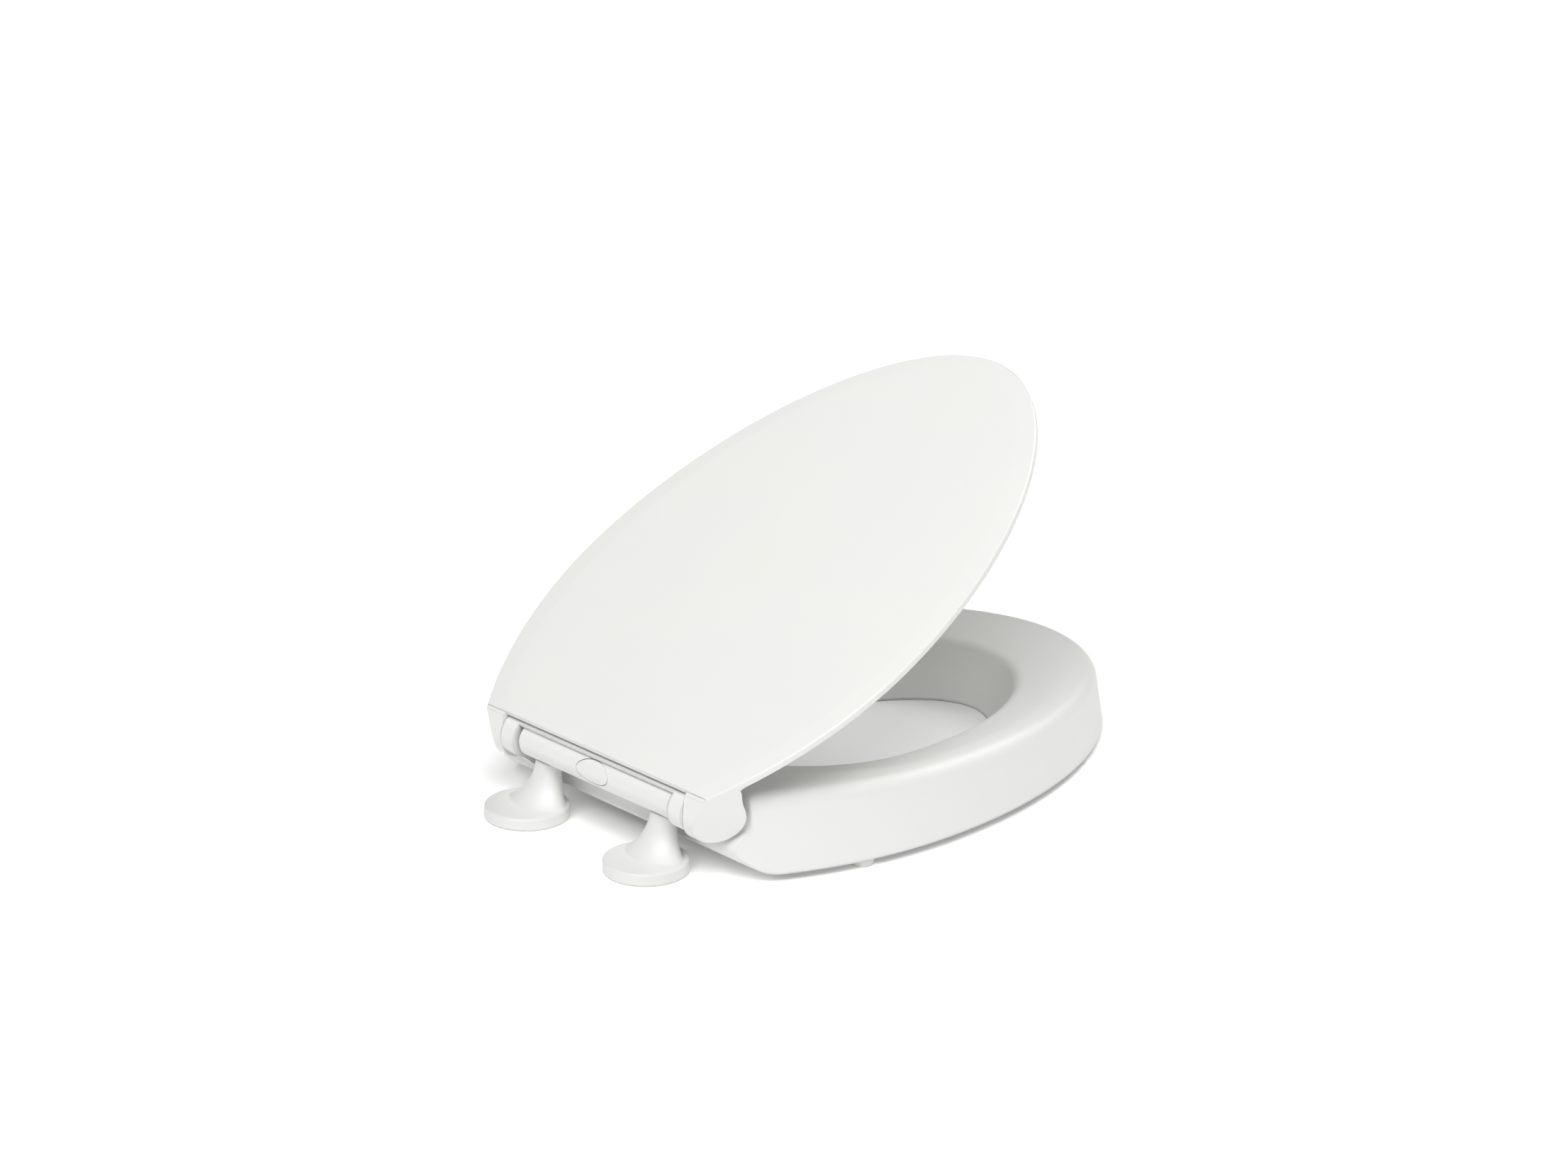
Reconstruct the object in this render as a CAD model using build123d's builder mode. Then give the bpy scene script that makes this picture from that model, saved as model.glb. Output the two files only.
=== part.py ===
from build123d import *
from math import cos, sin, radians
import os

os.makedirs("parts", exist_ok=True)

# Raised toilet seat for an elongated bowl, with a soft-close lid and a quick-release hinge bar.
# Millimetres. X is across the seat, the front faces -Y, Z is up.
# The origin is midway between the two mounting bolts, on the plane where the seat stands.

# ---- driving dimensions ----------------------------------------------------------------
BOLT_SPACING = 139.7      # standard spacing of the two mounting holes in a bowl
LID_HALF = 180.4          # half of the lid's greatest width
LID_WIDE_AT = 173.8       # hinge axis to the widest part of the lid
LID_NOSE = 291.4          # widest part to the front edge of the lid
LID_TAIL = 255.4          # rear half-length of the lid's outline, before it is cut off
LID_OPEN = 28.0           # angle of the stored, part-open lid above the horizontal
SEAT_SLOPE = 2.35         # slope of the seat's top, lower at the front

LID_FULL = 0.518          # how full the lid's outline is; 0.552 would be an ellipse

# hinge line
AXIS_Y = -19.6
AXIS_Z = 53.0
BARREL_R = 13.4           # outside of the hinge bar
BARREL_WALL = 2.2
BARREL_HALF = 86.5        # half the length of the hinge bar
KNUCKLE_R = BARREL_R + 3  # seat knuckles and the strip that covers the hinge bar
KNUCKLE_IN = 90.0         # inner face of a knuckle from the centre line
KNUCKLE_OUT = 105.0       # outer face of a knuckle
STRIP_END = 53.0          # where the cover strip ends, degrees above the rear horizontal
EAR_R = BARREL_R + 7.1     # round lower end of a lid ear
EAR_TAIL = 17.0           # how far an ear reaches behind the axis
EAR_GAP = 3.5             # ear to the seat's back
SIDE_GAP = 0.6            # knuckle to ear, side to side
BAR_GAP = 0.6             # hinge bar to the seat's cover strip, radial
PIN_R = 4.0
PIN_END = 113.0           # outer end of a hinge pin
RUN_FIT = 0.05            # radial clearance of a turning or sliding fit
PUSH_FIT = 0.03           # radial clearance of parts pushed together for good

# seat ring
SEAT_HALF = 187.3         # half the width at the bottom edge
SEAT_WIDE_Y = -204.0
SEAT_NOSE = 292.9         # widest part to the front of the bottom edge
SEAT_TAIL = 255.4         # rear half-length of the outline, before the back is cut off
BASE_Z = 6.1              # bottom edge above the bowl, the bumpers' height
TOP_N = 16.07             # top of the seat above the hinge axis, square to the slope
SEAT_DRAFT = 7.0          # the side wall leans in by this much from bottom to top
CROWN_R = 12.0            # rounding of the outer top edge
SHELL = 4.0               # wall of the moulded ring
DISH = 5.0                # depth of the top surface at the opening
LIP_R = 10.0              # rounding of the opening's top edge
CREASE_R = 40.0           # soft change of slope where the dish starts
BACK_R = 10.0             # rounding of the seat's rear top corner beside the ears
LIP_HALF = SEAT_HALF - 55.8   # half the width of the opening at the top
LIP_FRONT = -417.0
LIP_REAR = -76.0
THROAT_HALF = SEAT_HALF - 95.3   # half the width of the opening at the bottom of its guard
THROAT_FRONT = -403.0
THROAT_REAR = -104.0
OPENING_WIDE_Y = -206.0   # widest part of the opening
THROAT_Z = 0.6

# lid
LID_TOP_N = 22.7          # lid's top face above the hinge axis
LID_EDGE = 5.8            # height of the lid's edge
LID_SKIN = 4.0
LID_RIM = 5.0             # width of the rim under the lid
CREASE_IN = 16.0          # width of the sloping border around the top
CREASE_DROP = 0.8
LID_ROUND = 1.2           # bevel of the lid's top edge

# feet
FOOT_R = 32.8
FOOT_H = 9.9
FOOT_ROUND = 1.8
FOOT_LIFT = 0.6           # cover's edge above the bowl
NECK_X = 67.0             # neck and post, from the centre line
NECK_TOP = (11.6, 8.6)    # half-width and half-depth of the neck under the hinge bar
PAD_R = FOOT_R - 3.8
PAD_H = 1.6
PLATE_R = FOOT_R - 2.8
PLATE_TOP = 6.4
INSERT_R = 6.2
INSERT_TOP = 8.4
BOLT_R = 3.4              # tapped hole for an M8 bolt
BOLT_DEPTH = 7.2
POST_R = 4.0
POST_TOP = AXIS_Z + 6
POST_NECK_R = 3.0

# button and latches
BUTTON_LONG = 35.6
BUTTON_HIGH = 17.4
BUTTON_Z = AXIS_Z + 1.6
BUTTON_GAP = 0.55
BUTTON_TRAVEL = 3.0
BUTTON_IN = 8.0           # button's inner face behind the axis
WEDGE_TIP = -1.0
WEDGE_GAP = 0.15
LATCH_THICK = 2.5
LATCH_HALF_W = 5.6
LATCH_END = 74.0
SPRING_R = 2.2
SPRING_WIRE = 0.35
SPRING_Z = AXIS_Z + 7.4

# bumpers
BUMPER_R = 9.5
BUMPER_SEAT = 0.8         # a bumper's head is let into the ring this far
STEM_R = 3.0
STEM_H = 9.0
SEAT_BUMPERS = {"rear": (SEAT_HALF - 19.1, -128.0), "front": (SEAT_HALF - 51.9, -384.8)}
LID_BUMPERS = {"rear": (LID_HALF - 30.4, 110.0), "front": (LID_HALF - 76.4, 372.0)}

# ---- derived values ----------------------------------------------------------------------
FOOT_X = BOLT_SPACING / 2
TOP_HALF = SEAT_HALF - SEAT_DRAFT
BACK_Y = AXIS_Y - EAR_R - EAR_GAP
TUBE_R = BARREL_R - BARREL_WALL
LID_UNDER_N = LID_TOP_N - LID_EDGE
SIDES = {"left": 1, "right": -1}


def tilted(angle):
    """Plane through the hinge axis: local X across, local Y to the rear, local Z up."""
    a = radians(angle)
    return Plane(origin=(0, AXIS_Y, AXIS_Z), x_dir=(1, 0, 0), z_dir=(0, sin(a), cos(a)))


def side_view(x, angle=0.0):
    """Side view at x through the hinge axis: local X to the rear, local Y up."""
    a = radians(angle)
    return Plane(origin=(x, AXIS_Y, AXIS_Z), x_dir=(0, cos(a), -sin(a)), z_dir=(1, 0, 0))


LID_PLANE = tilted(LID_OPEN)
SEAT_PLANE = tilted(-SEAT_SLOPE)


def egg_face(plane, half, front, rear, wide_y):
    """Egg-shaped face: two half-ellipses that meet at the widest point."""
    with BuildSketch(plane) as face:
        with BuildLine():
            EllipticalCenterArc((0, wide_y), half, rear, start_angle=0, arc_size=180)
            EllipticalCenterArc((0, wide_y), half, front, start_angle=180, arc_size=180)
        make_face()
    return face.sketch


def opening_faces(grow):
    """Bottom and top of the opening, or of its guard when grown sideways."""
    low = egg_face(Plane.XY.offset(THROAT_Z - 2), THROAT_HALF + grow,
                   OPENING_WIDE_Y - THROAT_FRONT + grow, THROAT_REAR - OPENING_WIDE_Y + grow,
                   OPENING_WIDE_Y)
    high = egg_face(SEAT_PLANE.offset(TOP_N - DISH), LIP_HALF + grow,
                    OPENING_WIDE_Y - LIP_FRONT + grow, LIP_REAR - OPENING_WIDE_Y + grow,
                    OPENING_WIDE_Y - AXIS_Y)
    return [low, high]


def lid_face(height, inset):
    """Outline of the lid at a height above the hinge axis, moved in by an inset."""
    half, mid = LID_HALF - inset, -LID_WIDE_AT
    with BuildSketch(LID_PLANE.offset(height)) as face:
        with BuildLine():
            for side, reach in ((1, LID_TAIL - inset), (-1, LID_TAIL - inset),
                                (-1, inset - LID_NOSE), (1, inset - LID_NOSE)):
                Bezier((0, mid + reach), (side * LID_FULL * half, mid + reach),
                       (side * half, mid + LID_FULL * reach), (side * half, mid))
        make_face()
    return face.sketch


def loop_edges(solid, least, most):
    """Edges of a loop around the seat's top, by the loop's half-width."""
    def in_loop(edge):
        box = edge.bounding_box()
        return least - 0.5 < max(box.max.X, -box.min.X) < most and box.min.Z > AXIS_Z / 2
    return solid.edges().filter_by(in_loop)


def rod(radius, x_from, x_to, hole=0.0):
    """Round bar or tube on the hinge axis."""
    with BuildPart() as bar:
        with BuildSketch(side_view(x_from)):
            Circle(radius)
            if hole:
                Circle(hole, mode=Mode.SUBTRACT)
        extrude(amount=x_to - x_from)
    return bar.part




def save(part, name):
    part.label = name
    export_step(part, f"parts/{name}.step")


def save_pair(part, name):
    """Left part as given, right part as its mirror image."""
    save(part, f"{name}_left")
    save(mirror(part, about=Plane.YZ), f"{name}_right")


# ---- seat ring ----------------------------------------------------------------------------
# moulded shell: drafted outer wall, rounded crown, dished top and a guard inside the opening
top_wide = SEAT_WIDE_Y - AXIS_Y
top_nose = SEAT_NOSE - SEAT_DRAFT
top_tail = SEAT_TAIL - SEAT_DRAFT
lip_wide = OPENING_WIDE_Y - AXIS_Y
lip_front = OPENING_WIDE_Y - LIP_FRONT
lip_rear = LIP_REAR - OPENING_WIDE_Y

# everything behind the seat's back, seen from the side
back_top = AXIS_Z + TOP_N - (EAR_R + EAR_GAP + BACK_R) * sin(radians(SEAT_SLOPE))
with BuildPart() as behind:
    with BuildSketch(Plane.YZ):
        with BuildLine():
            Spline((-60, BASE_Z - 0.2), (-46.5, 9.3), (-38, 15.5), (-31.5, 24),
                   tangents=((1, 0.05), (0.2, 1)))
            Spline((-31.5, 24), (-33, 30.5), (-38.6, 36.6), (BACK_Y, 47),
                   tangents=((0.2, 1), (0, 1)))
            Line((BACK_Y, 47), (BACK_Y, back_top - BACK_R))
            Spline((BACK_Y, back_top - BACK_R), (BACK_Y - BACK_R, back_top + 0.1),
                   tangents=((0, 1), (-1, 0)))
            Polyline((BACK_Y - BACK_R, back_top + 0.1), (BACK_Y - BACK_R, 110), (90, 110),
                     (90, -20), (-60, -20), (-60, BASE_Z - 0.2))
        make_face()
    extrude(amount=250, both=True)

# hollow under the ring, open at the bottom
with BuildPart() as hollow:
    outer_low = egg_face(Plane.XY.offset(BASE_Z - 3), SEAT_HALF - SHELL, SEAT_NOSE - SHELL,
                         SEAT_TAIL - SHELL, SEAT_WIDE_Y)
    outer_high = egg_face(SEAT_PLANE.offset(TOP_N - DISH - SHELL), TOP_HALF - SHELL,
                          top_nose - SHELL, top_tail - SHELL, top_wide)
    loft([outer_low, outer_high])
    loft(opening_faces(SHELL), mode=Mode.SUBTRACT)
    with BuildSketch(Plane.XY.offset(-10)):
        with Locations((0, -58 - SHELL + 150)):
            Rectangle(500, 300)
    extrude(amount=150, mode=Mode.SUBTRACT)
    for bx, by in SEAT_BUMPERS.values():
        with BuildSketch(Plane.XY.offset(-10)):
            with Locations((bx, by), (-bx, by)):
                Circle(STEM_R + SHELL)
        extrude(amount=BASE_Z + STEM_H + SHELL + 10, mode=Mode.SUBTRACT)

# shallow dish of the top surface, from the crown down to the opening
with BuildPart() as dish:
    loft([
        egg_face(SEAT_PLANE.offset(TOP_N - DISH), LIP_HALF, lip_front, lip_rear, lip_wide),
        egg_face(SEAT_PLANE.offset(TOP_N + 1), LIP_HALF + 34, lip_front + 56, lip_rear + 22,
                 lip_wide),
    ])

with BuildPart() as seat_ring:
    loft([
        egg_face(Plane.XY.offset(BASE_Z), SEAT_HALF, SEAT_NOSE, SEAT_TAIL, SEAT_WIDE_Y),
        egg_face(SEAT_PLANE.offset(TOP_N), TOP_HALF, top_nose, top_tail, top_wide),
    ])
    fillet(seat_ring.edges().filter_by(lambda e: e.center().Z > AXIS_Z), CROWN_R)
    add(hollow.part, mode=Mode.SUBTRACT)
    # guard that reaches down into the bowl
    with BuildPart(mode=Mode.PRIVATE) as guard:
        loft(opening_faces(SHELL))
        with BuildSketch(SEAT_PLANE.offset(TOP_N - DISH - SHELL)):
            Rectangle(1500, 1500)
        extrude(amount=100, mode=Mode.SUBTRACT)
        with BuildSketch(Plane.XY.offset(THROAT_Z)):
            Rectangle(1500, 1500)
        extrude(amount=-30, mode=Mode.SUBTRACT)
    add(guard.part)
    add(dish.part, mode=Mode.SUBTRACT)
    loft(opening_faces(0), mode=Mode.SUBTRACT)
    # soft edges around the opening and where the dish starts
    fillet(loop_edges(seat_ring, LIP_HALF, LIP_HALF + 1), LIP_R)
    fillet(loop_edges(seat_ring, LIP_HALF + 20, LIP_HALF + 34), CREASE_R)
    add(behind.part, mode=Mode.SUBTRACT)
    # cover strip over the hinge bar, joined to the ring in front of the bar
    with BuildSketch(side_view(-KNUCKLE_OUT, -SEAT_SLOPE)):
        Circle(KNUCKLE_R)
        front = BACK_Y - AXIS_Y - BACK_R
        with BuildLine():
            Polyline((0, 0), (0, KNUCKLE_R), (front, TOP_N), (front, -9), (0, -9), (0, 0))
        make_face()
    extrude(amount=2 * KNUCKLE_OUT)
    # legs that brace the knuckles from the heel of the ring
    for x in (-KNUCKLE_OUT, KNUCKLE_IN):
        with BuildSketch(side_view(x)):
            with BuildLine():
                Polyline((0, 0), (5, -15.6), (-11.6, -29), (BACK_Y - AXIS_Y - 6, -29),
                         (BACK_Y - AXIS_Y - 6, 0), (0, 0))
            make_face()
        extrude(amount=KNUCKLE_OUT - KNUCKLE_IN)
    # room for the hinge bar, and the strip's rear edge
    with BuildSketch(side_view(-KNUCKLE_IN)):
        Circle(BARREL_R + BAR_GAP)
        end = radians(STRIP_END)
        with BuildLine():
            Polyline((0, 0), (40 * cos(end), 40 * sin(end)), (60, 0), (40, -60),
                     (-BARREL_R - BAR_GAP, -60), (-BARREL_R - BAR_GAP, 0), (0, 0))
        make_face()
    extrude(amount=2 * KNUCKLE_IN, mode=Mode.SUBTRACT)
    # bores for the knuckle bushes
    with BuildSketch(side_view(-KNUCKLE_OUT - 1)):
        Circle(PIN_R + 2 + PUSH_FIT)
    extrude(amount=2 * KNUCKLE_OUT + 2, mode=Mode.SUBTRACT)
    # seats for the bumpers
    for bx, by in SEAT_BUMPERS.values():
        with Locations((bx, by, BASE_Z), (-bx, by, BASE_Z)):
            Cylinder(STEM_R + PUSH_FIT, 2 * (STEM_H + 0.5), mode=Mode.SUBTRACT)
save(seat_ring.part, "seat_ring")

for place, (bx, by) in SEAT_BUMPERS.items():
    with BuildPart() as seat_bumper:
        with Locations((bx, by, 0)):
            Cylinder(BUMPER_R, BASE_Z - 0.1, align=(Align.CENTER, Align.CENTER, Align.MIN))
            Cylinder(STEM_R, BASE_Z + STEM_H, align=(Align.CENTER, Align.CENTER, Align.MIN))
        fillet(seat_bumper.edges().group_by(Axis.Z)[0], 1.5)
    save_pair(seat_bumper.part, f"seat_bumper_{place}")

# knuckle bush with a flange toward the hinge bar
bush = rod(PIN_R + 2, KNUCKLE_IN, KNUCKLE_OUT - 0.2, hole=PIN_R + RUN_FIT)
bush = bush + rod(PIN_R + 4, KNUCKLE_IN - 1.2, KNUCKLE_IN, hole=PIN_R + RUN_FIT)
save_pair(bush, "knuckle_bush")

# ---- lid ------------------------------------------------------------------------------------
with BuildPart() as lid:
    extrude(lid_face(LID_UNDER_N, 0), amount=LID_EDGE - CREASE_DROP - LID_ROUND)
    # bevelled top edge
    loft([lid_face(LID_TOP_N - CREASE_DROP - LID_ROUND, 0),
          lid_face(LID_TOP_N - CREASE_DROP, LID_ROUND)])
    # the border slopes down a little outside a crease
    loft([lid_face(LID_TOP_N - CREASE_DROP, LID_ROUND), lid_face(LID_TOP_N, CREASE_IN)])
    # recess under the lid
    extrude(lid_face(LID_UNDER_N, LID_RIM), amount=LID_EDGE - LID_SKIN, mode=Mode.SUBTRACT)
    # straight rear edge
    with BuildSketch(LID_PLANE):
        with Locations((0, 200)):
            Rectangle(500, 400)
    extrude(amount=60, both=True, mode=Mode.SUBTRACT)
    # ears that wrap the ends of the hinge line
    with BuildPart(mode=Mode.PRIVATE) as ears:
        with BuildSketch(side_view(-200, LID_OPEN)):
            with BuildLine():
                top = LID_TOP_N - CREASE_DROP - LID_ROUND
                Spline((3.5, top), (EAR_TAIL - 3.7, 5.7), (EAR_TAIL - 0.5, -7),
                       (0.55 * EAR_R, -0.83 * EAR_R), (-0.02 * EAR_R, -1.02 * EAR_R),
                       (-0.57 * EAR_R, -0.85 * EAR_R), (-0.89 * EAR_R, -0.33 * EAR_R),
                       (-0.96 * EAR_R, 0.26 * EAR_R), (-EAR_R - 1.2, LID_UNDER_N - 3.2),
                       (-EAR_R - 8, LID_UNDER_N), tangents=((1, -2), (-1, 0)))
                Polyline((-EAR_R - 8, LID_UNDER_N), (-EAR_R - 8, top), (3.5, top))
            make_face()
        extrude(amount=400)
        extrude(lid_face(-40, 0), amount=100, mode=Mode.INTERSECT)
        with BuildSketch(Plane.XY):
            Rectangle(2 * (KNUCKLE_OUT + SIDE_GAP), 400)
        extrude(amount=300, both=True, mode=Mode.SUBTRACT)
    add(ears.part)
    # blind bores for the hinge pins
    with BuildSketch(side_view(-PIN_END - 0.5)):
        Circle(PIN_R + PUSH_FIT)
    extrude(amount=2 * PIN_END + 1, mode=Mode.SUBTRACT)
save(lid.part, "lid")

save_pair(rod(PIN_R, BARREL_HALF - 7, PIN_END), "hinge_pin")

for place, (bx, reach) in LID_BUMPERS.items():
    with BuildPart() as lid_bumper:
        with BuildSketch(LID_PLANE.offset(LID_TOP_N - LID_SKIN)):
            with Locations((bx, -reach)):
                RectangleRounded(10, 22, 4.9)
        extrude(amount=-(LID_EDGE - LID_SKIN + 0.7))
    save_pair(lid_bumper.part, f"lid_bumper_{place}")

# ---- hinge bar with its button, latches and dampers ------------------------------------------
# oval outline of the button, seen from behind
with BuildPart() as button_well:
    with BuildSketch(Plane.XZ.offset(-AXIS_Y - 1)):
        with Locations((0, BUTTON_Z)):
            Ellipse(BUTTON_LONG / 2 + BUTTON_GAP, BUTTON_HIGH / 2 + BUTTON_GAP)
    extrude(amount=-40)

with BuildPart() as hinge_bar:
    add(rod(BARREL_R, -BARREL_HALF, BARREL_HALF, hole=TUBE_R))
    fillet(hinge_bar.edges().filter_by(GeomType.CIRCLE).filter_by(
        lambda e: e.radius > TUBE_R + 1), 0.8)
    add(button_well.part, mode=Mode.SUBTRACT)
    with Locations((NECK_X, AXIS_Y, AXIS_Z), (-NECK_X, AXIS_Y, AXIS_Z)):
        Cylinder(POST_R + 0.5, 2 * BARREL_R, align=(Align.CENTER, Align.CENTER, Align.MAX),
                 mode=Mode.SUBTRACT)
save(hinge_bar.part, "hinge_bar")

# button: a curved cap flush with the bar, with a wedge behind it
with BuildPart() as release_button:
    with BuildSketch(Plane.XZ.offset(-AXIS_Y - BUTTON_IN)):
        with Locations((0, BUTTON_Z)):
            Ellipse(BUTTON_LONG / 2, BUTTON_HIGH / 2)
    extrude(amount=-20)
    add(rod(BARREL_R, -30, 30), mode=Mode.INTERSECT)
    with BuildSketch(Plane.XY.offset(AXIS_Z - 3)):
        with BuildLine():
            wide = BUTTON_IN - WEDGE_TIP
            Polyline((-wide, AXIS_Y + BUTTON_IN), (wide, AXIS_Y + BUTTON_IN),
                     (0, AXIS_Y + WEDGE_TIP), (-wide, AXIS_Y + BUTTON_IN))
        make_face()
    extrude(amount=6)
save(release_button.part, "release_button")

# return spring between the button and the far wall of the bar
spring_reach = (TUBE_R ** 2 - (SPRING_Z + SPRING_R - AXIS_Z) ** 2) ** 0.5 - 0.3
with BuildPart() as button_spring:
    spring_len = spring_reach + BUTTON_IN - 2 * SPRING_WIRE - 0.1
    with BuildLine():
        coil = Helix(pitch=spring_len / 6, height=spring_len, radius=SPRING_R,
                     center=(0, AXIS_Y - spring_reach + SPRING_WIRE, SPRING_Z),
                     direction=(0, 1, 0))
    with BuildSketch(Plane(origin=coil @ 0, z_dir=coil % 0)):
        Circle(SPRING_WIRE)
    sweep()
save(button_spring.part, "button_spring")

# latch plate: its sloping inner end rides on the button's wedge, its slot lets the post through
latch_z = AXIS_Z - LATCH_THICK / 2
gap = WEDGE_GAP * 2 ** 0.5
with BuildPart() as latch:
    with BuildSketch(Plane.XY.offset(latch_z)):
        with BuildLine():
            Polyline((gap, AXIS_Y + WEDGE_TIP), (gap + 4, AXIS_Y + WEDGE_TIP + 4),
                     (14, AXIS_Y + WEDGE_TIP + 4), (18, AXIS_Y + LATCH_HALF_W),
                     (LATCH_END, AXIS_Y + LATCH_HALF_W), (LATCH_END, AXIS_Y - LATCH_HALF_W),
                     (2, AXIS_Y - LATCH_HALF_W), (gap + 0.6, AXIS_Y + WEDGE_TIP - 2),
                     (gap, AXIS_Y + WEDGE_TIP))
        make_face()
        with Locations((NECK_X - BUTTON_TRAVEL / 2, AXIS_Y)):
            SlotOverall(2 * POST_R + 0.6 + BUTTON_TRAVEL, 2 * POST_R + 0.6, mode=Mode.SUBTRACT)
    extrude(amount=LATCH_THICK)
save_pair(latch.part, "latch_plate")

# damper cartridges close the ends of the bar and grip the hinge pins
damper = rod(TUBE_R - PUSH_FIT, BARREL_HALF - 8, BARREL_HALF, hole=PIN_R + RUN_FIT)
damper = damper + rod(TUBE_R - 1, BARREL_HALF, BARREL_HALF + 2, hole=PIN_R + RUN_FIT)
save_pair(damper, "damper")

# guides that hold the latch plates level inside the bar
with BuildPart() as latch_guide:
    with BuildSketch(side_view(26)):
        Circle(TUBE_R - PUSH_FIT)
        Rectangle(2 * LATCH_HALF_W + 0.3, LATCH_THICK + 0.2, mode=Mode.SUBTRACT)
    extrude(amount=5)
save_pair(latch_guide.part, "latch_guide")

# ---- feet --------------------------------------------------------------------------------------
with BuildPart() as foot_cover:
    with BuildSketch(Plane.XY.offset(FOOT_LIFT)):
        with Locations((FOOT_X, 0)):
            Circle(FOOT_R)
    extrude(amount=FOOT_H - FOOT_LIFT)
    fillet(foot_cover.edges().group_by(Axis.Z)[-1], FOOT_ROUND)
    # neck: sweeps up from the front of the disc to the hinge bar
    neck = []
    for height, shift_x, shift_y, half_x, half_y in (
        (0.0, 1.2, 11.0, 28.0, 18.5),
        (0.2, 0.6, 7.4, 21.0, 14.5),
        (0.5, 0.0, 3.0, 15.2, 11.2),
        (0.85, 0.0, 0.6, 12.2, 9.0),
        (1.25, 0.0, 0.0, 11.6, 8.6),
    ):
        z = FOOT_H - 1 + height * (AXIS_Z - BARREL_R - FOOT_H)
        with BuildSketch(Plane.XY.offset(z)) as slice_face:
            with Locations((NECK_X + shift_x, AXIS_Y + shift_y)):
                Ellipse(half_x, half_y)
        neck.append(slice_face.sketch)
    loft(neck)
    add(rod(BARREL_R + 0.15, 30, 100), mode=Mode.SUBTRACT)
    # recess for the base plate, and the post's bore
    with Locations((FOOT_X, 0, FOOT_LIFT)):
        Cylinder(PLATE_R + PUSH_FIT, 2 * (PLATE_TOP - FOOT_LIFT + 0.05), mode=Mode.SUBTRACT)
        Cylinder(INSERT_R + 1, 2 * (INSERT_TOP - FOOT_LIFT + 0.1), mode=Mode.SUBTRACT)
    with Locations((NECK_X, AXIS_Y, 0)):
        Cylinder(POST_R + PUSH_FIT, 200, mode=Mode.SUBTRACT)
save_pair(foot_cover.part, "foot_cover")

with BuildPart() as base_plate:
    with Locations((FOOT_X, 0, PAD_H)):
        Cylinder(PLATE_R, PLATE_TOP - PAD_H, align=(Align.CENTER, Align.CENTER, Align.MIN))
        Cylinder(INSERT_R + PUSH_FIT, 40, mode=Mode.SUBTRACT)
    with Locations((NECK_X, AXIS_Y, 0)):
        Cylinder(POST_R + PUSH_FIT, 200, mode=Mode.SUBTRACT)
save_pair(base_plate.part, "base_plate")

with BuildPart() as foot_pad:
    with BuildSketch():
        with Locations((FOOT_X, 0)):
            Circle(PAD_R)
            Circle(INSERT_R + 1.5, mode=Mode.SUBTRACT)
    extrude(amount=PAD_H)
save_pair(foot_pad.part, "foot_pad")

with BuildPart() as bolt_insert:
    with Locations((FOOT_X, 0, 0)):
        Cylinder(INSERT_R, INSERT_TOP, align=(Align.CENTER, Align.CENTER, Align.MIN))
        Cylinder(BOLT_R, 2 * BOLT_DEPTH, mode=Mode.SUBTRACT)
save_pair(bolt_insert.part, "bolt_insert")

with BuildPart() as post:
    with Locations((NECK_X, AXIS_Y, PAD_H)):
        Cylinder(POST_R, POST_TOP - PAD_H, align=(Align.CENTER, Align.CENTER, Align.MIN))
    chamfer(post.edges().group_by(Axis.Z)[-1], 1.2)
    with BuildSketch(Plane.XY.offset(AXIS_Z - 2)):
        with Locations((NECK_X, AXIS_Y)):
            Circle(POST_R + 1)
            Circle(POST_NECK_R, mode=Mode.SUBTRACT)
    extrude(amount=4, mode=Mode.SUBTRACT)
save_pair(post.part, "mounting_post")
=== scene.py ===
# %% [markdown]
# # Raised toilet seat
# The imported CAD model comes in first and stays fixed. Everything in this lesson is about how the
# real thing looks: white moulded plastic with a soft sheen, on a pale studio floor.

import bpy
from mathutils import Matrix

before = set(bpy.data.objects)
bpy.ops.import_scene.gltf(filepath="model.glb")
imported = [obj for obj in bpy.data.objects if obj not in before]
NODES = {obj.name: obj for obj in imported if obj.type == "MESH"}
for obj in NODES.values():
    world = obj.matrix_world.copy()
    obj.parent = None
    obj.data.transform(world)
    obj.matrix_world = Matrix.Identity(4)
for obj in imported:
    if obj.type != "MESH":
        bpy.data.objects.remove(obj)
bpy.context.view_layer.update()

import math
import bpy
from mathutils import Vector

MM = 0.001
MM_PER_M = 1000.0

# %% [markdown]
# ## Colours
# Colours are written the way a designer reads them, as sRGB hex. Blender's shaders want linear
# light, so one function does the change for every material.

# %% Hex to linear colour


def paint(hex_code):
    channels = [int(hex_code[i:i + 2], 16) / 255 for i in (1, 3, 5)]
    linear = [c / 12.92 if c <= 0.04045 else ((c + 0.055) / 1.055) ** 2.4 for c in channels]
    return (*linear, 1.0)


print("neutral white plastic in linear light", [round(c, 3) for c in paint("#EBEBEA")])

# %% [markdown]
# ## A helper for shader nodes
# One function adds a node, sets its values and wires its inputs, so each material below reads
# like a recipe.

# %% Node helper


def node(tree, kind, settings=None, values=None, links=None):
    new = tree.nodes.new(kind)
    for name, value in (settings or {}).items():
        setattr(new, name, value)
    for name, value in (values or {}).items():
        new.inputs[name].default_value = value
    for name, source in (links or {}).items():
        tree.links.new(source, new.inputs[name])
    return new


def blank_material(name):
    material = bpy.data.materials.new(name)
    material.use_nodes = True
    material.node_tree.nodes.clear()
    return material


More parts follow.
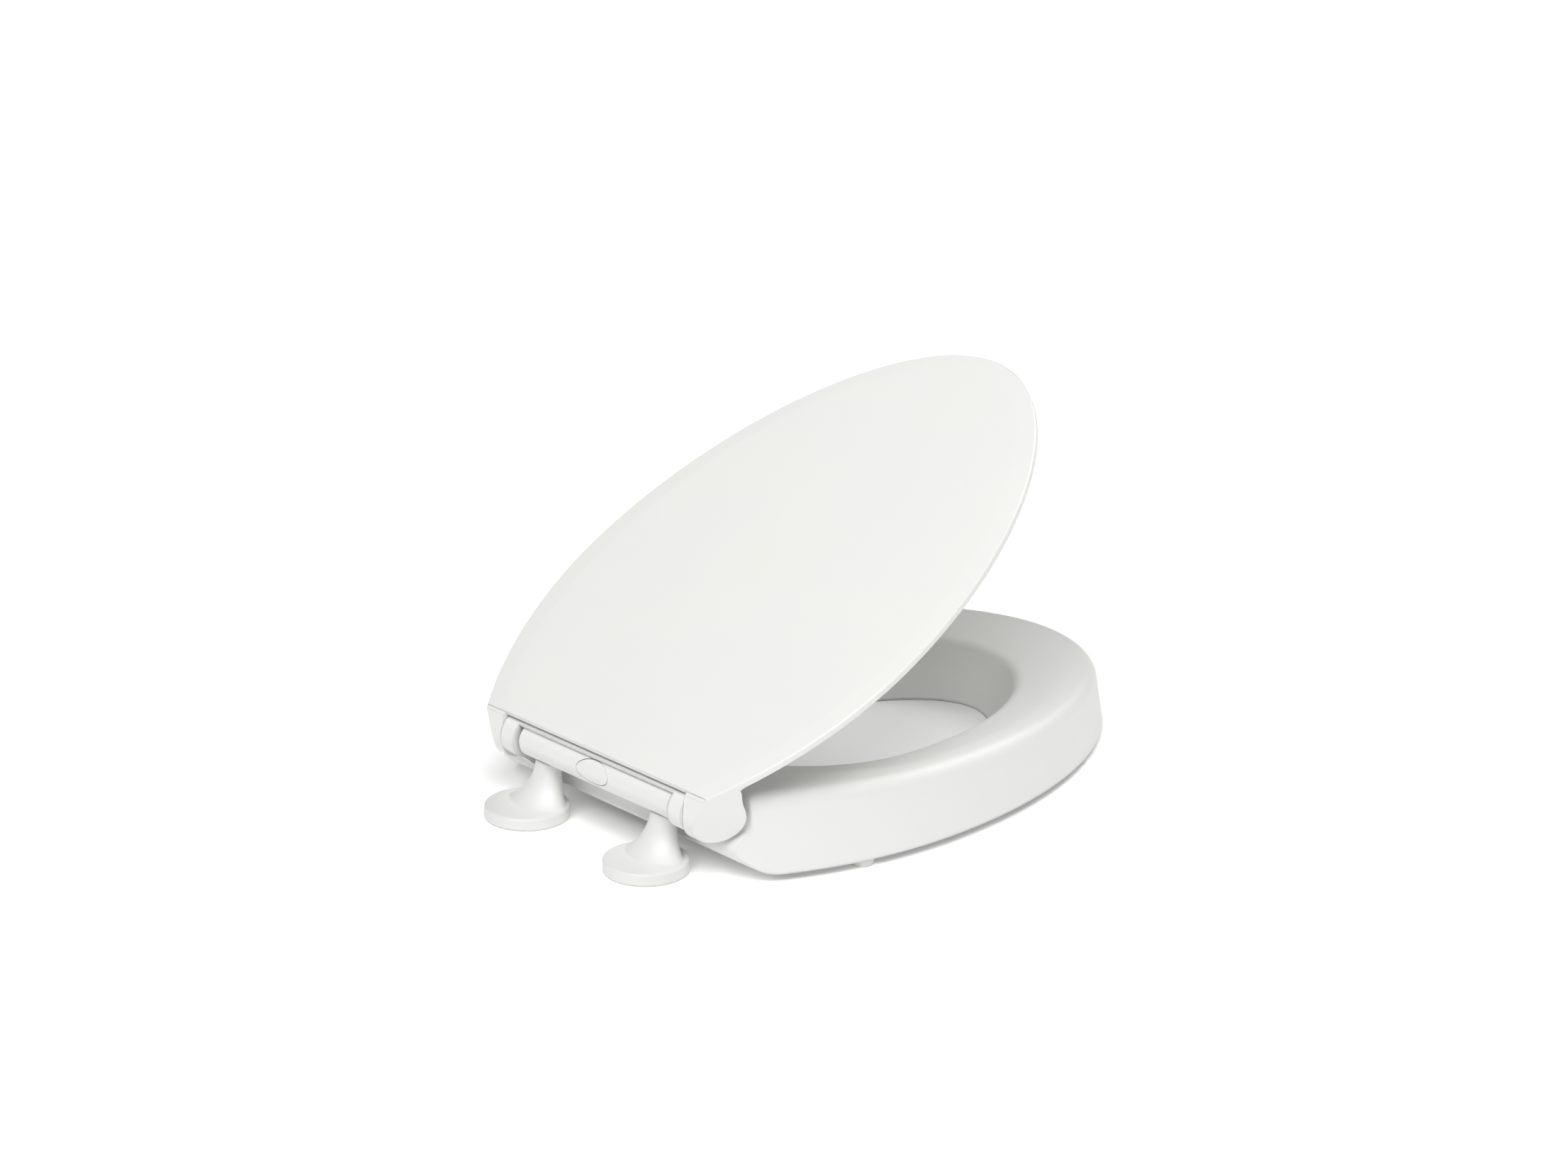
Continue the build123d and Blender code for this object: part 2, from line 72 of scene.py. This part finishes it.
# %% [markdown]
# ## Moulded white plastic
# The ring, the lid and the hinge covers are injection-moulded polypropylene. The tool is polished,
# so the sheen is satin and not mirror-like. The resin is never quite even: over a few centimetres
# it drifts between neutral and faintly warm. The surface has an orange peel 1.2 to 1.5 mm across
# and one or two hundredths of a millimetre deep. A moulded edge is never sharp, so a shader bevel
# rounds the edges in the light without touching the mesh. The ring is the thickest moulding and
# gets the widest rounding; the hinge parts are small and get the narrowest.

# %% Moulded plastic recipe


def moulded_plastic(name, tone, warm_tone, roughness, peel_mm, peel_deep_mm, edge_mm):
    material = blank_material(name)
    tree = material.node_tree
    where = node(tree, "ShaderNodeTexCoord").outputs["Object"]
    drift = node(tree, "ShaderNodeTexNoise",
                 values={"Scale": 9.0, "Detail": 2.0, "Roughness": 0.5}, links={"Vector": where})
    tint = node(tree, "ShaderNodeValToRGB", links={"Fac": drift.outputs["Fac"]})
    tint.color_ramp.elements[0].position = 0.35
    tint.color_ramp.elements[0].color = paint(tone)
    tint.color_ramp.elements[1].position = 0.75
    tint.color_ramp.elements[1].color = paint(warm_tone)
    wear = node(tree, "ShaderNodeTexNoise", values={"Scale": 60.0, "Detail": 3.0},
                links={"Vector": where})
    sheen = node(tree, "ShaderNodeMapRange",
                 values={"To Min": roughness - 0.04, "To Max": roughness + 0.05},
                 links={"Value": wear.outputs["Fac"]})
    peel = node(tree, "ShaderNodeTexNoise", values={"Scale": MM_PER_M / peel_mm, "Detail": 1.0},
                links={"Vector": where})
    edge = node(tree, "ShaderNodeBevel", settings={"samples": 6}, values={"Radius": edge_mm * MM})
    bump = node(tree, "ShaderNodeBump",
                values={"Strength": 0.4, "Distance": peel_deep_mm * MM},
                links={"Height": peel.outputs["Fac"], "Normal": edge.outputs["Normal"]})
    shader = node(tree, "ShaderNodeBsdfPrincipled",
                  values={"IOR": 1.49, "Metallic": 0.0, "Subsurface Weight": 0.05,
                          "Subsurface Radius": (1.0, 0.95, 0.9), "Subsurface Scale": 0.0015},
                  links={"Base Color": tint.outputs["Color"], "Roughness": sheen.outputs["Result"],
                         "Normal": bump.outputs["Normal"]})
    node(tree, "ShaderNodeOutputMaterial", links={"Surface": shader.outputs["BSDF"]})
    return material


seat_resin = moulded_plastic("seat_polypropylene", "#EBEBEA", "#ECECE8", 0.42, 1.5, 0.02, 3.5)
lid_resin = moulded_plastic("lid_polypropylene", "#EAEAE9", "#EBEBE6", 0.30, 1.5, 0.015, 1.0)
hinge_resin = moulded_plastic("hinge_polypropylene", "#EAEAE9", "#EBEBE7", 0.34, 1.2, 0.015, 0.2)
foot_resin = moulded_plastic("foot_polypropylene", "#EAEAE9", "#EBEBE7", 0.36, 1.2, 0.015, 2.5)
print("plastics", [m.name for m in (seat_resin, lid_resin, hinge_resin, foot_resin)])

# %% [markdown]
# ## Engineering plastic and rubber
# The acetal bushes, latch plates, latch guides and base plates are off-white and a little waxy.
# The soft-close cartridges are dark nylon. The bumpers are a pale soft elastomer and the pads
# under the feet a black rubber. All of them are matt, with a fine cloudy grain; one recipe covers
# them.

# %% Matt polymer recipe


def matt_polymer(name, dark, light, roughness, grain_mm, deep_mm, edge_mm):
    material = blank_material(name)
    tree = material.node_tree
    where = node(tree, "ShaderNodeTexCoord").outputs["Object"]
    cloud = node(tree, "ShaderNodeTexNoise",
                 values={"Scale": 120.0, "Detail": 4.0, "Roughness": 0.6}, links={"Vector": where})
    tint = node(tree, "ShaderNodeValToRGB", links={"Fac": cloud.outputs["Fac"]})
    tint.color_ramp.elements[0].position = 0.3
    tint.color_ramp.elements[0].color = paint(dark)
    tint.color_ramp.elements[1].position = 0.7
    tint.color_ramp.elements[1].color = paint(light)
    grain = node(tree, "ShaderNodeTexVoronoi", values={"Scale": MM_PER_M / grain_mm},
                 links={"Vector": where})
    sheen = node(tree, "ShaderNodeMapRange",
                 values={"To Min": roughness - 0.06, "To Max": roughness + 0.06},
                 links={"Value": cloud.outputs["Fac"]})
    edge = node(tree, "ShaderNodeBevel", settings={"samples": 4}, values={"Radius": edge_mm * MM})
    bump = node(tree, "ShaderNodeBump", values={"Strength": 0.5, "Distance": deep_mm * MM},
                links={"Height": grain.outputs["Distance"], "Normal": edge.outputs["Normal"]})
    shader = node(tree, "ShaderNodeBsdfPrincipled", values={"IOR": 1.5, "Metallic": 0.0},
                  links={"Base Color": tint.outputs["Color"], "Roughness": sheen.outputs["Result"],
                         "Normal": bump.outputs["Normal"]})
    node(tree, "ShaderNodeOutputMaterial", links={"Surface": shader.outputs["BSDF"]})
    return material


acetal = matt_polymer("natural_acetal", "#DAD9D0", "#E4E3DB", 0.42, 0.5, 0.01, 0.3)
nylon = matt_polymer("dark_nylon", "#2A2A2C", "#353537", 0.5, 0.5, 0.02, 0.3)
elastomer = matt_polymer("pale_elastomer", "#D8D8D4", "#DEDEDA", 0.6, 0.6, 0.03, 0.5)
pad_rubber = matt_polymer("black_rubber", "#1C1C1C", "#262626", 0.75, 0.8, 0.05, 0.3)
print("polymers", [m.name for m in (acetal, nylon, elastomer, pad_rubber)])

# %% [markdown]
# ## Metal
# Pins, posts and the spring are turned or drawn steel; the bolt inserts are brass. Turning leaves
# fine parallel rings along the part. The grooves are a wave along one axis, 0.5 to 0.6 mm apart,
# bent a little so that they are not perfectly straight. Real turning leaves finer grooves; these
# are drawn coarser so that they can be seen close up. Metal is fully metallic and keeps the
# shader's own index.

# %% Turned metal recipe
WAVE_AT_SCALE_ONE = 314.0    # millimetres from one band to the next when the scale is 1


def turned_metal(name, tone, roughness, axis, pitch_mm, deep_mm):
    material = blank_material(name)
    tree = material.node_tree
    where = node(tree, "ShaderNodeTexCoord").outputs["Object"]
    rings = node(tree, "ShaderNodeTexWave",
                 settings={"wave_type": "BANDS", "bands_direction": axis},
                 values={"Scale": WAVE_AT_SCALE_ONE / pitch_mm, "Distortion": 0.6, "Detail": 2.0},
                 links={"Vector": where})
    stain = node(tree, "ShaderNodeTexNoise", values={"Scale": 250.0, "Detail": 4.0},
                 links={"Vector": where})
    sheen = node(tree, "ShaderNodeMapRange",
                 values={"To Min": roughness - 0.07, "To Max": roughness + 0.09},
                 links={"Value": stain.outputs["Fac"]})
    tint = node(tree, "ShaderNodeHueSaturation", values={"Color": paint(tone)},
                links={"Value": node(tree, "ShaderNodeMapRange",
                                     values={"To Min": 0.9, "To Max": 1.05},
                                     links={"Value": stain.outputs["Fac"]}).outputs["Result"]})
    bump = node(tree, "ShaderNodeBump", values={"Strength": 0.4, "Distance": deep_mm * MM},
                links={"Height": rings.outputs["Fac"]})
    shader = node(tree, "ShaderNodeBsdfPrincipled", values={"Metallic": 1.0},
                  links={"Base Color": tint.outputs["Color"], "Roughness": sheen.outputs["Result"],
                         "Normal": bump.outputs["Normal"]})
    node(tree, "ShaderNodeOutputMaterial", links={"Surface": shader.outputs["BSDF"]})
    return material


pin_steel = turned_metal("turned_steel_pin", "#C4C4C6", 0.28, "X", 0.5, 0.01)
post_steel = turned_metal("turned_steel_post", "#C4C4C6", 0.28, "Z", 0.5, 0.01)
spring_steel = turned_metal("drawn_spring_steel", "#B9B9BC", 0.3, "Y", 0.5, 0.005)
brass = turned_metal("turned_brass", "#D9B36A", 0.3, "Z", 0.6, 0.01)
print("metals", [m.name for m in (pin_steel, post_steel, spring_steel, brass)])

# %% [markdown]
# ## Give every CAD part its finish
# The start of a part's name says what it is made of. The CAD shapes themselves stay as packed:
# only the material in each slot changes.

# %% Assign finishes
FINISH = {
    "seat_ring": seat_resin, "lid_bumper": elastomer, "seat_bumper": elastomer, "lid": lid_resin,
    "hinge_bar": hinge_resin, "release_button": hinge_resin, "foot_cover": foot_resin,
    "knuckle_bush": acetal, "latch": acetal, "base_plate": acetal, "damper": nylon,
    "foot_pad": pad_rubber, "hinge_pin": pin_steel, "mounting_post": post_steel,
    "button_spring": spring_steel, "bolt_insert": brass,
}
for name, part in sorted(NODES.items()):
    finish = next(FINISH[start] for start in FINISH if name.startswith(start))
    for slot in part.material_slots:
        slot.material = finish
    print(f"{name:24s} {finish.name}")

# %% [markdown]
# ## Floor
# The floor is no lamp, yet it glows: its emission is painted light. The glow is weakest in the
# middle of the seat, stronger along its edge and strongest far away. This paints soft shade under
# the seat and turns the ground pure white further out, while the soft contact shadows of the
# lamps stay. The distance is measured from the middle of the seat, and squeezed along the seat
# because the ring is longer than it is wide.

# %% Floor
SEAT_MIDDLE = Vector((0, -0.25, 0))
SQUEEZE = 0.76               # along the seat, so that the glow follows the oval of the ring
# Painted light: how strongly the floor glows under the seat (low, so it paints shade there), at its
# edge and far away.
INSIDE_GLOW, EDGE_GLOW, FAR_GLOW = 0.04, 0.2, 0.6

bpy.ops.mesh.primitive_circle_add(vertices=96, radius=14.0, fill_type="NGON", location=(0, 0, 0))
floor = bpy.context.object
floor.name = "studio_floor"
# Painted light: this floor material glows although the floor is no lamp.
glowing_floor = blank_material("floor_with_painted_glow")
tree = glowing_floor.node_tree
place = node(tree, "ShaderNodeTexCoord").outputs["Object"]
squeeze = node(tree, "ShaderNodeMapping",
               values={"Location": (0.0, -SEAT_MIDDLE.y * SQUEEZE, 0.0),
                       "Scale": (1.0, SQUEEZE, 1.0)},
               links={"Vector": place})
reach = node(tree, "ShaderNodeVectorMath", settings={"operation": "LENGTH"},
             links={0: squeeze.outputs["Vector"]})
# Painted shade: close to the seat the glow drops to its weakest, under the ring.
painted_shade_near_seat = node(tree, "ShaderNodeMapRange", settings={"interpolation_type": "SMOOTHSTEP"},
            values={"From Min": 0.11, "From Max": 0.21,
                    "To Min": INSIDE_GLOW, "To Max": EDGE_GLOW},
            links={"Value": reach.outputs["Value"]})
# Painted light: far from the seat the glow climbs until the ground reads pure white.
painted_glow_far_out = node(tree, "ShaderNodeMapRange", settings={"interpolation_type": "SMOOTHSTEP"},
            values={"From Min": 0.4, "From Max": 2.2, "To Max": FAR_GLOW},
            links={"Value": reach.outputs["Value"], "To Min": painted_shade_near_seat.outputs["Result"]})
grain = node(tree, "ShaderNodeTexNoise", values={"Scale": 900.0, "Detail": 1.0},
             links={"Vector": place})
matt = node(tree, "ShaderNodeMapRange", values={"To Min": 0.75, "To Max": 0.85},
            links={"Value": grain.outputs["Fac"]})
shader = node(tree, "ShaderNodeBsdfPrincipled",
              values={"Base Color": paint("#FBFBFB"), "IOR": 1.49,
                      "Specular IOR Level": 0.1, "Emission Color": paint("#FFFFFF")},
              links={"Emission Strength": painted_glow_far_out.outputs["Result"],
                     "Roughness": matt.outputs["Result"]})
node(tree, "ShaderNodeOutputMaterial", links={"Surface": shader.outputs["BSDF"]})
floor.data.materials.append(glowing_floor)
print("floor glow under the seat, at its edge and far away", INSIDE_GLOW, EDGE_GLOW, FAR_GLOW)

# %% [markdown]
# ## Light
# Three strong soft boxes stand high around the table: the key over the camera's shoulder, one
# behind the hinge and one in front. High light is what lets the lid shade the inside of the ring.
# Two weak ones, overhead and low on the right, lift the places that the others miss. The surround
# itself is almost dark, so shaded places keep their depth.

# %% Light
world = bpy.data.worlds.new("studio_surround")
world.use_nodes = True
world.node_tree.nodes.clear()
glow = node(world.node_tree, "ShaderNodeBackground",
            values={"Color": paint("#FFFFFF"), "Strength": 0.055})
node(world.node_tree, "ShaderNodeOutputWorld", links={"Surface": glow.outputs["Background"]})
bpy.context.scene.world = world

BOX_AWAY = 3.4               # metres from the middle of the seat
BOX_SIZE = 1.8


def soft_box(name, turn, height, watts):
    """Square soft box aimed at the seat; turn is from +X and height above the table, in degrees."""
    turn, height = math.radians(turn), math.radians(height)
    light = bpy.data.lights.new(name, "AREA")
    light.shape = "SQUARE"
    light.size = BOX_SIZE
    light.energy = watts
    lamp = bpy.data.objects.new(name, light)
    way = Vector((math.cos(turn) * math.cos(height), math.sin(turn) * math.cos(height),
                  math.sin(height)))
    lamp.location = SEAT_MIDDLE + way * BOX_AWAY
    lamp.rotation_euler = (-way).to_track_quat("-Z", "Y").to_euler()
    bpy.context.scene.collection.objects.link(lamp)


soft_box("key_over_shoulder", 140, 55, 62)
soft_box("behind_hinge", 90, 55, 41)
soft_box("in_front", -90, 50, 44)
soft_box("overhead", 90, 88, 5)
soft_box("low_right", 225, 30, 4)

# %% [markdown]
# ## Camera
# A long lens from behind and to the right of the seat, a little above it. Long focal length and
# a distance of over four metres keep the perspective flat, as in a catalogue picture.

# %% Camera
CAMERA_PLACE = Vector((-2.9235, 2.4309, 1.6486))
CAMERA_AIM = Vector((0.1061, -0.2969, 0.1))
LENS_MM = 125.6

camera_data = bpy.data.cameras.new("studio_camera")
camera_data.sensor_width = 36.0
camera_data.lens = LENS_MM
camera_data.clip_start = 0.1
camera_data.clip_end = 60.0
camera = bpy.data.objects.new("studio_camera", camera_data)
camera.location = CAMERA_PLACE
camera.rotation_mode = "QUATERNION"
camera.rotation_quaternion = (CAMERA_AIM - CAMERA_PLACE).to_track_quat("-Z", "Y")
bpy.context.scene.collection.objects.link(camera)
bpy.context.scene.camera = camera
bpy.context.scene.view_settings.view_transform = "Standard"
print("camera is", round((CAMERA_AIM - CAMERA_PLACE).length, 2), "m from what it looks at")
